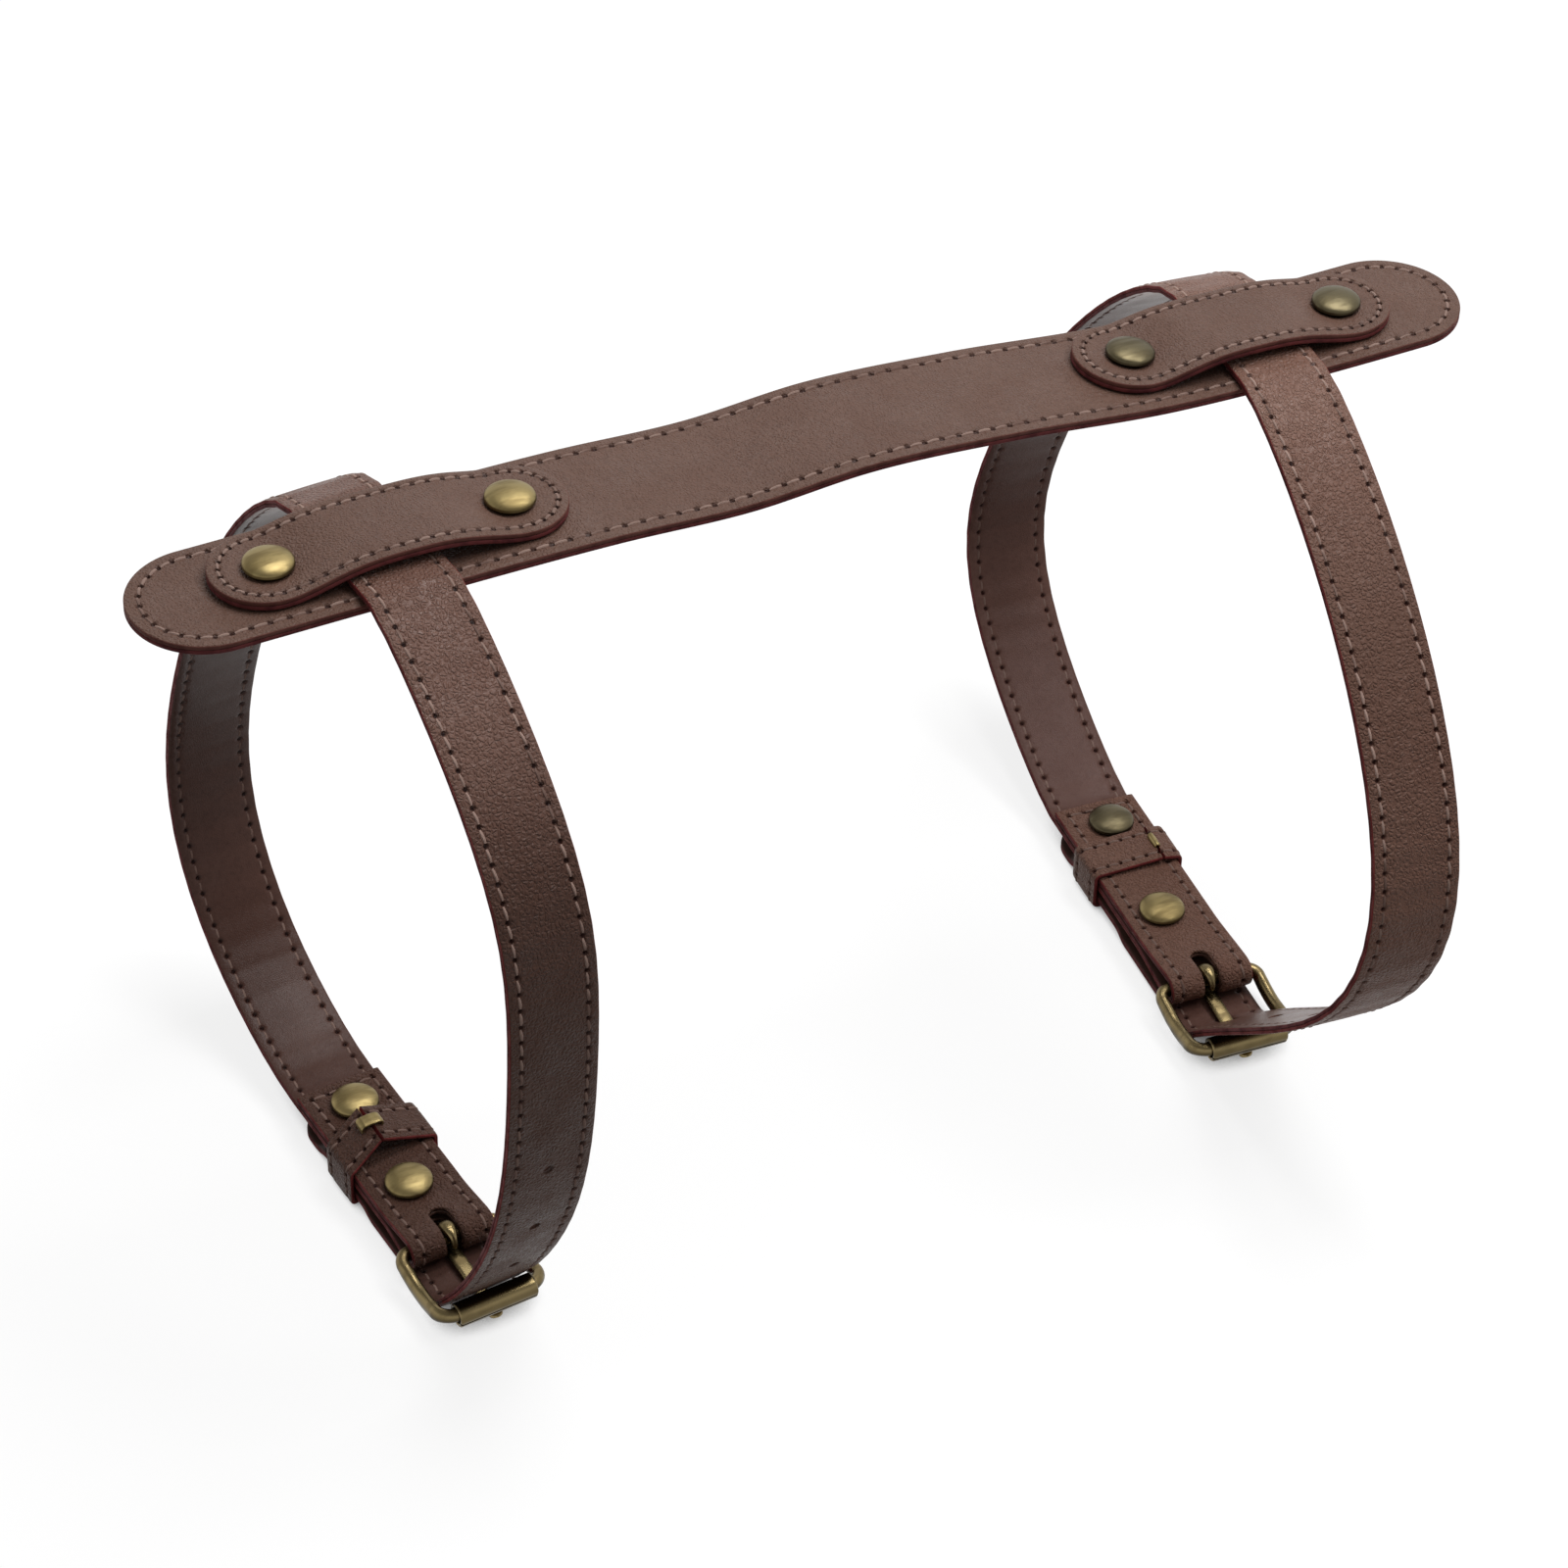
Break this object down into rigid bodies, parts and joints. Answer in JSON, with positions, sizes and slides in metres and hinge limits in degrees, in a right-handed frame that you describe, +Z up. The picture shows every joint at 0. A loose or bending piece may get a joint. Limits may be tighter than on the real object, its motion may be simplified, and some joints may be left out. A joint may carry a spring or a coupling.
{
  "type": "leather two-strap carrier",
  "caption": "Sewn leather carry handle with riveted bands over buckled strap loops, for carrying a rolled blanket or mat by hand.",
  "frame": {"origin": "on the ground under the middle of the whole carrier's box", "axes": "+X along the handle, +Y to the rear, +Z up from the ground the loops stand on to the handle"},
  "size_m": [0.334, 0.2214, 0.1932],
  "materials": {
    "handle_leather": "smooth reddish brown leather with a soft sheen and sewn, painted edges",
    "strap_leather": "dark chocolate brown leather with a fine grain and painted edges",
    "lining": "brown lining leather with a satin face",
    "antique_brass": "antiqued brass, bright on raised parts and dark in recesses"
  },
  "bodies": {
    "handle": {"handle_lining": "lining", "handle_top": "handle_leather", "left_band_inner_rivet_cap": "antique_brass", "left_band_inner_rivet_post": "antique_brass", "left_band_lining": "lining", "left_band_outer_rivet_cap": "antique_brass", "left_band_outer_rivet_post": "antique_brass", "left_band_top": "strap_leather", "right_band_inner_rivet_cap": "antique_brass", "right_band_inner_rivet_post": "antique_brass", "right_band_lining": "lining", "right_band_outer_rivet_cap": "antique_brass", "right_band_outer_rivet_post": "antique_brass", "right_band_top": "strap_leather"},
    "left_strap": {"left_buckle_frame": "antique_brass", "left_flap_far_rivet_cap": "antique_brass", "left_flap_far_rivet_post": "antique_brass", "left_flap_near_rivet_cap": "antique_brass", "left_flap_near_rivet_post": "antique_brass", "left_strap_lining": "lining", "left_strap_outer": "strap_leather"},
    "left_keeper": {"left_keeper": "strap_leather", "left_keeper_staple": "antique_brass"},
    "left_roller": {"left_buckle_roller": "antique_brass"},
    "left_tongue": {"left_buckle_tongue": "antique_brass"},
    "right_strap": {"right_buckle_frame": "antique_brass", "right_flap_far_rivet_cap": "antique_brass", "right_flap_far_rivet_post": "antique_brass", "right_flap_near_rivet_cap": "antique_brass", "right_flap_near_rivet_post": "antique_brass", "right_strap_lining": "lining", "right_strap_outer": "strap_leather"},
    "right_keeper": {"right_keeper": "strap_leather", "right_keeper_staple": "antique_brass"},
    "right_roller": {"right_buckle_roller": "antique_brass"},
    "right_tongue": {"right_buckle_tongue": "antique_brass"}
  },
  "joints": [
    {"name": "left_strap_slide", "type": "slide", "parent": "handle", "child": "left_strap", "axis": [0.9998, 0, -0.0221], "range_m": [-0.0005, 0.008]},
    {"name": "left_keeper_slide", "type": "slide", "parent": "left_strap", "child": "left_keeper", "axis": [-0.0611, 0.9981, 0], "range_m": [-0.0035, 0.0002]},
    {"name": "left_roller_spin", "type": "hinge", "parent": "left_strap", "child": "left_roller", "pos_m": [-0.11227, -0.04939, 0.0064], "axis": [0.9981, 0.0611, 0], "continuous": true},
    {"name": "left_tongue_swing", "type": "hinge", "parent": "left_strap", "child": "left_tongue", "pos_m": [-0.11367, -0.02643, 0.007], "axis": [0.9981, 0.0611, 0], "range_deg": [0, 2]},
    {"name": "right_strap_slide", "type": "slide", "parent": "handle", "child": "right_strap", "axis": [0.9989, 0, -0.0462], "range_m": [-0.008, 0.0002]},
    {"name": "right_keeper_slide", "type": "slide", "parent": "right_strap", "child": "right_keeper", "axis": [0.1028, 0.9947, 0], "range_m": [-0.0102, 0.0003]},
    {"name": "right_roller_spin", "type": "hinge", "parent": "right_strap", "child": "right_roller", "pos_m": [0.09012, -0.05194, 0.0064], "axis": [0.9947, -0.1028, 0], "continuous": true},
    {"name": "right_tongue_swing", "type": "hinge", "parent": "right_strap", "child": "right_tongue", "pos_m": [0.09248, -0.02906, 0.007], "axis": [0.9947, -0.1028, 0], "range_deg": [0, 2]}
  ]
}
